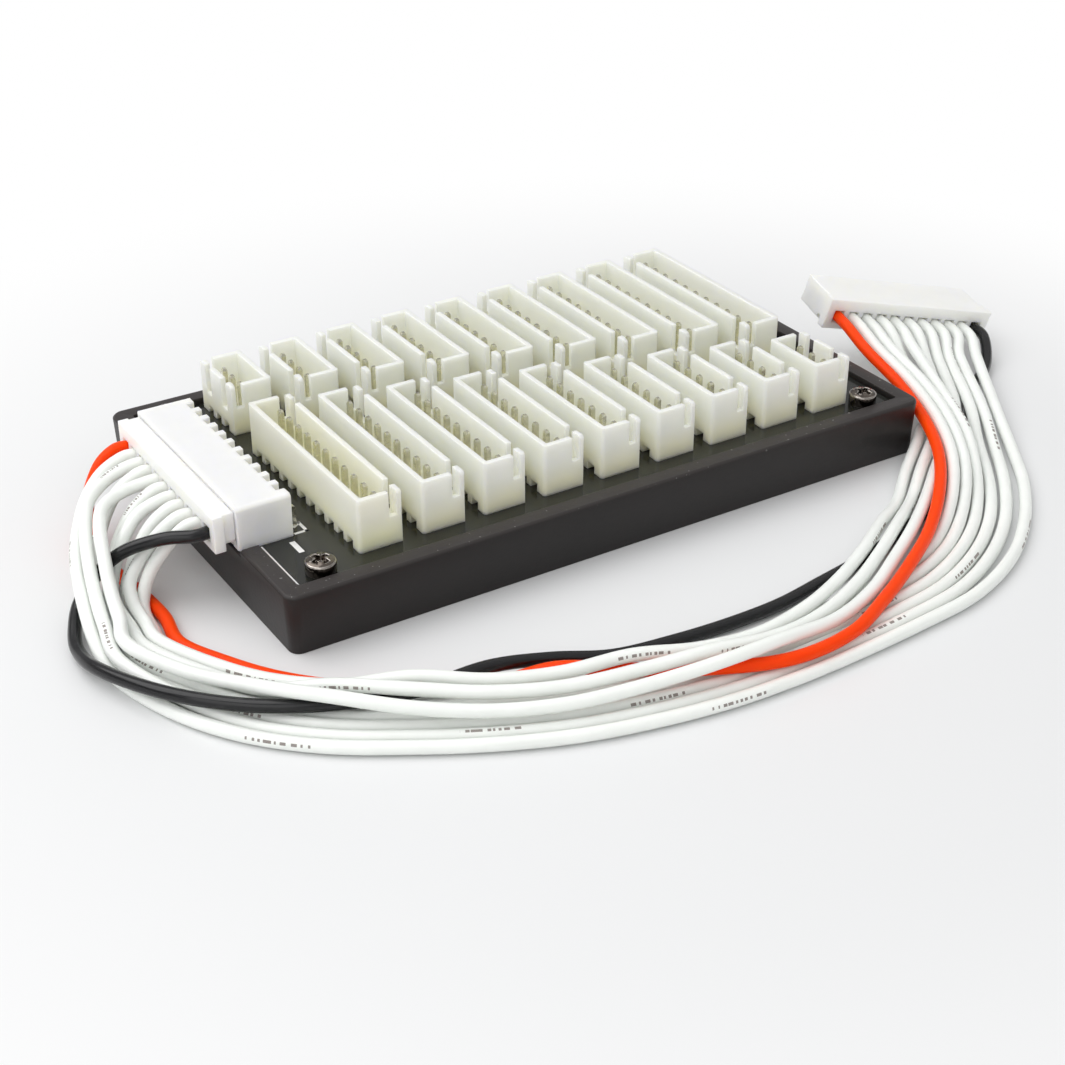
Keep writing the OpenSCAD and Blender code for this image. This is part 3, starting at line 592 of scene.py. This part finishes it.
def softened(node, name, radius, material, segments=3, split=True, crisp=False, edge=None):
    """A welded copy of a CAD piece with rounded edges, shown in place of the node.

    A split piece has its concave faces cut up first. A crisp piece keeps flat faces, and its edges that are
    too short for the rounding stay as they are. The rounded edges can have a material of their own."""
    weld = 0.002 * MM
    flat = math.radians(1)
    sharp = math.radians(32)
    shortest = 0.3 * MM
    mesh = bpy.data.meshes.new(name)
    work = bmesh.new()
    work.from_mesh(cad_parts[node].data)
    bmesh.ops.remove_doubles(work, verts=work.verts, dist=weld)
    bmesh.ops.dissolve_limit(work, angle_limit=flat, verts=work.verts, edges=work.edges)
    if split:
        bmesh.ops.connect_verts_concave(work, faces=work.faces)
    for face in work.faces:
        face.smooth = not crisp
    weight = work.edges.layers.float.new("bevel_weight_edge")
    for side in work.edges:
        rounded = side.calc_face_angle(0) > sharp and (not crisp or side.calc_length() > shortest)
        side[weight] = 1.0 if rounded else 0.0
    work.to_mesh(mesh)
    work.free()
    mesh.materials.append(material)
    piece = new_object(name, mesh)
    bevel = piece.modifiers.new("Rounded edges", "BEVEL")
    bevel.width = radius
    bevel.segments = segments
    bevel.limit_method = "WEIGHT"
    bevel.use_clamp_overlap = False
    bevel.harden_normals = not crisp
    if edge:
        mesh.materials.append(edge)
        bevel.material = 1
    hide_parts(node)
    return piece


def pin_tree():
    """Node tree that stands a square pin with a narrowed tip on every point."""
    tree = bpy.data.node_groups.new("Square pins", "GeometryNodeTree")
    socket = tree.interface.new_socket
    socket("Geometry", in_out="INPUT", socket_type="NodeSocketGeometry")
    for label in ("Side", "Length", "Tip", "Narrowing"):
        socket(label, in_out="INPUT", socket_type="NodeSocketFloat")
    socket("Material", in_out="INPUT", socket_type="NodeSocketMaterial")
    socket("Geometry", in_out="OUTPUT", socket_type="NodeSocketGeometry")
    link = tree.links.new
    inside = tree.nodes.new("NodeGroupInput")
    outside = tree.nodes.new("NodeGroupOutput")

    def math_node(operation, first, second):
        """The result of a calculation with two values, each a socket or a number."""
        node = add(tree, "ShaderNodeMath", operation=operation)
        for slot, value in zip(node.inputs, (first, second)):
            if isinstance(value, (int, float)):
                slot.default_value = value
            else:
                link(value, slot)
        return node.outputs["Value"]

    # How close to its height a ring of the bar is found
    within = 0.01 * MM
    half = math_node("MULTIPLY", inside.outputs["Length"], 0.5)
    size = add(tree, "ShaderNodeCombineXYZ")
    link(inside.outputs["Side"], size.inputs["X"])
    link(inside.outputs["Side"], size.inputs["Y"])
    link(inside.outputs["Length"], size.inputs["Z"])
    bar = add(tree, "GeometryNodeMeshCube")
    bar.inputs["Vertices Z"].default_value = 3
    link(size.outputs["Vector"], bar.inputs["Size"])
    at = add(tree, "GeometryNodeInputPosition")
    split = add(tree, "ShaderNodeSeparateXYZ")
    link(at.outputs["Position"], split.inputs["Vector"])

    # The middle ring moves up to the shoulder of the tip
    middle = math_node("COMPARE", split.outputs["Z"], 0.0)
    middle.node.inputs[2].default_value = within
    lift = add(tree, "ShaderNodeCombineXYZ")
    link(math_node("SUBTRACT", half, inside.outputs["Tip"]), lift.inputs["Z"])
    shoulder = add(tree, "GeometryNodeSetPosition")
    link(bar.outputs["Mesh"], shoulder.inputs["Geometry"])
    link(middle, shoulder.inputs["Selection"])
    link(lift.outputs["Vector"], shoulder.inputs["Offset"])

    # The top ring draws in
    top = math_node("GREATER_THAN", split.outputs["Z"], math_node("SUBTRACT", half, within))
    narrow = add(tree, "ShaderNodeCombineXYZ", Z=1.0)
    link(inside.outputs["Narrowing"], narrow.inputs["X"])
    link(inside.outputs["Narrowing"], narrow.inputs["Y"])
    drawn = add(tree, "ShaderNodeVectorMath", operation="MULTIPLY")
    link(at.outputs["Position"], drawn.inputs[0])
    link(narrow.outputs["Vector"], drawn.inputs[1])
    tip = add(tree, "GeometryNodeSetPosition")
    link(shoulder.outputs["Geometry"], tip.inputs["Geometry"])
    link(top, tip.inputs["Selection"])
    link(drawn.outputs["Vector"], tip.inputs["Position"])

    foot = add(tree, "GeometryNodeTransform")
    rise = add(tree, "ShaderNodeCombineXYZ")
    link(half, rise.inputs["Z"])
    link(tip.outputs["Geometry"], foot.inputs["Geometry"])
    link(rise.outputs["Vector"], foot.inputs["Translation"])
    points = add(tree, "GeometryNodeMeshToPoints")
    spread = add(tree, "GeometryNodeInstanceOnPoints")
    solid = add(tree, "GeometryNodeRealizeInstances")
    finish = add(tree, "GeometryNodeSetMaterial")
    link(inside.outputs["Geometry"], points.inputs["Mesh"])
    link(points.outputs["Points"], spread.inputs["Points"])
    link(foot.outputs["Geometry"], spread.inputs["Instance"])
    link(spread.outputs["Instances"], solid.inputs["Geometry"])
    link(solid.outputs["Geometry"], finish.inputs["Geometry"])
    link(inside.outputs["Material"], finish.inputs["Material"])
    link(finish.outputs["Geometry"], outside.inputs["Geometry"])
    return tree


def baked(piece):
    """Turns the result of a piece's node tree into a plain mesh."""
    graph = bpy.context.evaluated_depsgraph_get()
    mesh = bpy.data.meshes.new_from_object(piece.evaluated_get(graph), depsgraph=graph)
    piece.modifiers.clear()
    piece.data = mesh


# Lead

def plug_point(wire, out):
    """A point of a wire on its way of the board's plug, a distance out from the rear face."""
    x, y, z = BOARD_PLUG_AT
    way = FROM_WAY[wire] - (WAYS + 1) / 2
    return Vector((x - out, y - way * PITCH / MM, z))


def free_point(wire, out):
    """A point of a wire on its way of the free plug, a distance out from the rear face."""
    way = WIRES.index(wire) - (WAYS - 1) / 2
    rx, ry, rz = (math.radians(a) for a in FREE_PLUG_TURN)
    turn = Matrix.Rotation(rz, 3, "Z") @ Matrix.Rotation(ry, 3, "Y") @ Matrix.Rotation(rx, 3, "X")
    return Vector(FREE_PLUG_AT) + turn @ Vector((way * PITCH / MM, -out, 0))


def wire_route(wire):
    """The points of a wire in metres, from the board's plug to the free plug."""
    points = [plug_point(wire, -WIRE_IN), plug_point(wire, STRAIGHT_IN - WIRE_IN)]
    points += [Vector(p) for p in FAN_IN[wire]]
    for (x, y, heading), (out, z) in zip(STATIONS, LANES[wire]):
        a = math.radians(heading)
        points.append(Vector((x + out * math.sin(a), y - out * math.cos(a), z)))
    points += [Vector(p) for p in FAN_OUT[wire]]
    points += [free_point(wire, STRAIGHT_OUT), free_point(wire, -WIRE_IN)]
    return [p * MM for p in points]


def tangents(points):
    """Directions of a smooth curve through the points, with its ends run straight on."""
    before = [2 * points[0] - points[1]] + points[:-1]
    after = points[1:] + [2 * points[-1] - points[-2]]
    return [(b - a) / 2 for a, b in zip(before, after)]


def wire_curve(name, points, diameter, material):
    """A round wire along a smooth curve through the points."""
    curve = bpy.data.curves.new(name, "CURVE")
    curve.dimensions = "3D"
    curve.bevel_depth = diameter / 2
    curve.bevel_resolution = 5
    curve.resolution_u = 8
    curve.use_fill_caps = True
    spline = curve.splines.new("BEZIER")
    spline.bezier_points.add(len(points) - 1)
    for knot, place, run in zip(spline.bezier_points, points, tangents(points)):
        knot.handle_left_type = "FREE"
        knot.handle_right_type = "FREE"
        knot.co = place
        knot.handle_left = place - run / 3
        knot.handle_right = place + run / 3
    curve.materials.append(material)
    return curve, spline


class AdapterOperator(bpy.types.Operator):
    """Base of the operators that finish the adapter."""
    bl_options = {"REGISTER", "UNDO"}

    def settings(self, context):
        """The sizes and colours of the scene."""
        return context.scene.adapter_sizes, context.scene.adapter_finish


class ADAPTER_OT_stage(AdapterOperator):
    """Set the camera, the floor and the light"""
    bl_idname = "adapter.stage"
    bl_label = "Stage"

    def execute(self, context):
        stage = context.scene.adapter_stage
        self.make_camera(context, stage)
        self.make_floor()
        self.make_light(context, stage)
        return {"FINISHED"}

    def make_camera(self, context, stage):
        """The photograph's viewpoint."""
        data = bpy.data.cameras.new("Camera")
        data.lens = stage.lens
        data.sensor_width = SENSOR_WIDTH
        data.shift_x = stage.shift_x
        data.shift_y = stage.shift_y
        data.clip_start, data.clip_end = CLIP_RANGE
        camera = bpy.data.objects.new("Camera", data)
        context.scene.collection.objects.link(camera)
        place = Vector(CAMERA_AT) * MM
        ahead = Vector(CAMERA_AHEAD).normalized()
        right = Vector(CAMERA_RIGHT).normalized()
        up = right.cross(ahead)
        turn = Matrix((right, up, -ahead)).transposed().to_4x4()
        camera.matrix_world = Matrix.Translation(place) @ turn
        context.scene.camera = camera

    def make_floor(self):
        """A pale floor that fades to white away from the object."""
        mesh = bpy.data.meshes.new("floor")
        work = bmesh.new()
        bmesh.ops.create_grid(work, x_segments=1, y_segments=1, size=FLOOR_HALF)
        work.to_mesh(mesh)
        work.free()
        floor = bpy.data.objects.new("floor", mesh)
        bpy.context.scene.collection.objects.link(floor)
        material, shader = new_material("Pale floor")
        tree = material.node_tree
        link = tree.links.new
        shader.inputs["Base Color"].default_value = FLOOR_COLOUR
        shader.inputs["Roughness"].default_value = 0.55
        glow = add(tree, "ShaderNodeEmission", Strength=1.0)
        mix = add(tree, "ShaderNodeMixShader")
        place = add(tree, "ShaderNodeTexCoord")
        far = add(tree, "ShaderNodeVectorMath", operation="DISTANCE")
        far.inputs[1].default_value = FLOOR_MIDDLE
        link(place.outputs["Object"], far.inputs[0])
        fade = ranged(tree, far.outputs["Value"], *FLOOR_FADE, smooth=True)
        link(product(tree, background_rays(tree), fade), mix.inputs["Fac"])
        link(shader.outputs["BSDF"], mix.inputs[1])
        link(glow.outputs["Emission"], mix.inputs[2])
        link(mix.outputs["Shader"], tree.nodes["Material Output"].inputs["Surface"])
        mesh.materials.append(material)

    def make_light(self, context, stage):
        """A white backdrop all round, a soft light overhead and two lamps, the larger over the back left."""
        world = bpy.data.worlds.new("Studio")
        world.use_nodes = True
        background = world.node_tree.nodes["Background"]
        background.inputs["Color"].default_value = (1, 1, 1, 1)
        tree = world.node_tree
        link = tree.links.new
        _, height = object_place(tree)
        strengths = [stage.sky * share for share in SKY_SHARES]
        overhead = ranged(tree, height, *OVERHEAD_BEGINS, strengths, smooth=True)
        backdrop = add(tree, "ShaderNodeMix", B=1.0)
        link(ranged(tree, height, *BACKDROP_ENDS, (1.0, 0.0), smooth=True), backdrop.inputs["Factor"])
        link(overhead, backdrop.inputs["A"])
        link(backdrop.outputs["Result"], background.inputs["Strength"])
        context.scene.world = world
        self.lamp(context, "Key", *KEY_LAMP, stage.key)
        self.lamp(context, "Fill", *FILL_LAMP, stage.fill)

    def lamp(self, context, name, place, size, power):
        """A square lamp that points at the object."""
        data = bpy.data.lights.new(name, "AREA")
        data.size = size
        data.energy = power
        lamp = bpy.data.objects.new(name, data)
        context.scene.collection.objects.link(lamp)
        lamp.location = place
        lamp.rotation_euler = (-Vector(place)).to_track_quat("-Z", "Y").to_euler()


class ADAPTER_OT_lead(AdapterOperator):
    """Lay the wires of the lead"""
    bl_idname = "adapter.lead"
    bl_label = "Lead"

    def execute(self, context):
        sizes, finish = self.settings(context)
        whites = [silicone("White silicone", finish.wire_white, gloss=(0.26, 0.36), shine=0.4,
                           ink=finish.wire_ink, side=side, shift=shift) for side, shift in WIRE_PRINTS]
        red = silicone("Red silicone", finish.wire_red, gloss=(0.3, 0.4), shine=0.12)
        black = silicone("Black silicone", finish.wire_black, gloss=(0.14, 0.22), shine=0.4)
        finishes = {"wire_red": red, "wire_black": black}
        for k, wire in enumerate(WIRES):
            points = wire_route(wire)
            data, spline = wire_curve(wire + "_insulation", points, sizes.wire_diameter,
                                      finishes.get(wire, whites[k % len(whites)]))
            piece = new_object(wire + "_insulation", data)
            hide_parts(wire)
        return {"FINISHED"}


class ADAPTER_OT_tray(AdapterOperator):
    """Finish the moulded tray"""
    bl_idname = "adapter.tray"
    bl_label = "Tray"

    def execute(self, context):
        sizes, finish = self.settings(context)
        softened("tray", "moulded_tray", sizes.tray_edge, moulded_tray(finish), split=False)
        return {"FINISHED"}


class ADAPTER_OT_board(AdapterOperator):
    """Finish the circuit board and print its marks"""
    bl_idname = "adapter.board"
    bl_label = "Circuit board"

    def execute(self, context):
        sizes, finish = self.settings(context)
        finish_node("circuit_board", solder_mask(finish))
        self.print_marks(sizes, board_ink(finish))
        return {"FINISHED"}

    def print_marks(self, sizes, material):
        """Thin raised lines on the face of the board."""
        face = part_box("circuit_board")[1][2]
        mesh = bpy.data.meshes.new("board_print")
        work = bmesh.new()
        for start, end, width in MARKS:
            a = Vector(start) * MM
            b = Vector(end) * MM
            run = b - a
            middle = (a + b) / 2
            size = Matrix.Diagonal((run.length + width * MM, width * MM, sizes.ink_height, 1))
            turn = Matrix.Rotation(math.atan2(run.y, run.x), 4, "Z")
            place = Matrix.Translation((middle.x, middle.y, face + sizes.ink_height / 2))
            bmesh.ops.create_cube(work, size=1, matrix=place @ turn @ size)
        work.to_mesh(mesh)
        work.free()
        mesh.materials.append(material)
        piece = new_object("board_print", mesh)


class ADAPTER_OT_screws(AdapterOperator):
    """Finish the screws"""
    bl_idname = "adapter.screws"
    bl_label = "Screws"

    def execute(self, context):
        sizes, finish = self.settings(context)
        steel = oxide("Black oxide steel", finish.black_oxide)
        # The rounded edges get the pale painted highlight, a thin bright ring
        painted_highlight = oxide("Steel with painted highlight", finish.painted_highlight)
        softened("board_screws", "pan_head_screws", sizes.screw_edge, steel, segments=2,
                 edge=painted_highlight)
        return {"FINISHED"}


class ADAPTER_OT_headers(AdapterOperator):
    """Finish the upright headers"""
    bl_idname = "adapter.headers"
    bl_label = "Headers"

    def execute(self, context):
        sizes, finish = self.settings(context)
        depth = 2.2 * MM
        clear = nylon("Natural nylon", finish.ivory, depth, weight=1.0, foot=finish.ivory_painted_glow)
        aged = nylon("Yellowed nylon", finish.aged, depth, weight=1.0, foot=finish.aged_painted_glow)
        for node in FRONT_HEADERS + BACK_HEADERS:
            material = aged if node == "header_front_1" else clear
            softened(node, node + "_housing", sizes.housing_edge, material, crisp=True)
        return {"FINISHED"}


class ADAPTER_OT_pins(AdapterOperator):
    """Finish the pins"""
    bl_idname = "adapter.pins"
    bl_label = "Pins"

    def execute(self, context):
        sizes, finish = self.settings(context)
        tin = tin_plate(finish)
        for node in ("side_pins", "board_plug_contacts", "charger_plug_contacts"):
            finish_node(node, tin)
        places, length = self.pin_places(sizes)
        mesh = bpy.data.meshes.new("header_pins")
        mesh.from_pydata(places, [], [])
        piece = new_object("header_pins", mesh)
        grow = piece.modifiers.new("Pins", "NODES")
        grow.node_group = pin_tree()
        values = {"Side": sizes.pin_side, "Length": length, "Tip": sizes.pin_tip,
                  "Narrowing": sizes.pin_flat / sizes.pin_side, "Material": tin}
        for item in grow.node_group.interface.items_tree:
            if item.item_type == "SOCKET" and item.name in values:
                grow[item.identifier] = values[item.name]
        baked(piece)
        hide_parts(*FRONT_PINS, *BACK_PINS)
        return {"FINISHED"}

    def pin_places(self, sizes):
        """The foot of every upright pin, and the length of a pin."""
        places = []
        for node in FRONT_PINS + BACK_PINS:
            low, high = (Vector(corner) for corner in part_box(node))
            span = high.y - low.y - sizes.pin_side
            for k in range(round(span / PITCH) + 1):
                places.append(((low.x + high.x) / 2, low.y + sizes.pin_side / 2 + k * PITCH, low.z))
        return places, high.z - low.z


class ADAPTER_OT_plugs(AdapterOperator):
    """Finish the side header and the two plugs"""
    bl_idname = "adapter.plugs"
    bl_label = "Side header and plugs"

    def execute(self, context):
        sizes, finish = self.settings(context)
        white = nylon("White nylon", finish.white, depth=1.5 * MM, weight=0.9)
        for node in ("side_header", "board_plug", "charger_plug"):
            softened(node, node + "_housing", sizes.housing_edge, white, crisp=True)
        return {"FINISHED"}


class ADAPTER_PT_panel(bpy.types.Panel):
    """Lists the steps that finish the adapter"""
    bl_idname = "ADAPTER_PT_panel"
    bl_label = "Balance Lead Adapter"
    bl_space_type = "VIEW_3D"
    bl_region_type = "UI"
    bl_category = "Adapter"

    def draw(self, context):
        for step in STEPS:
            self.layout.operator(step.bl_idname)
        for group in ("adapter_sizes", "adapter_finish", "adapter_stage"):
            values = getattr(context.scene, group)
            box = self.layout.box()
            for key in values.__annotations__:
                box.prop(values, key)


STEPS = (ADAPTER_OT_stage, ADAPTER_OT_plugs, ADAPTER_OT_pins, ADAPTER_OT_lead, ADAPTER_OT_tray,
         ADAPTER_OT_board, ADAPTER_OT_screws, ADAPTER_OT_headers)
CLASSES = (AdapterSizes, AdapterFinish, AdapterStage) + STEPS + (ADAPTER_PT_panel,)


def register():
    """Adds the classes and the scene's settings."""
    for kind in CLASSES:
        bpy.utils.register_class(kind)
    bpy.types.Scene.adapter_sizes = bpy.props.PointerProperty(type=AdapterSizes)
    bpy.types.Scene.adapter_finish = bpy.props.PointerProperty(type=AdapterFinish)
    bpy.types.Scene.adapter_stage = bpy.props.PointerProperty(type=AdapterStage)


def unregister():
    """Takes them away again."""
    del bpy.types.Scene.adapter_stage
    del bpy.types.Scene.adapter_finish
    del bpy.types.Scene.adapter_sizes
    for kind in reversed(CLASSES):
        bpy.utils.unregister_class(kind)


def main():
    register()
    bpy.context.scene.view_settings.view_transform = "Standard"
    for step in STEPS:
        group, name = step.bl_idname.split(".")
        getattr(getattr(bpy.ops, group), name)()


if __name__ == "__main__":
    main()
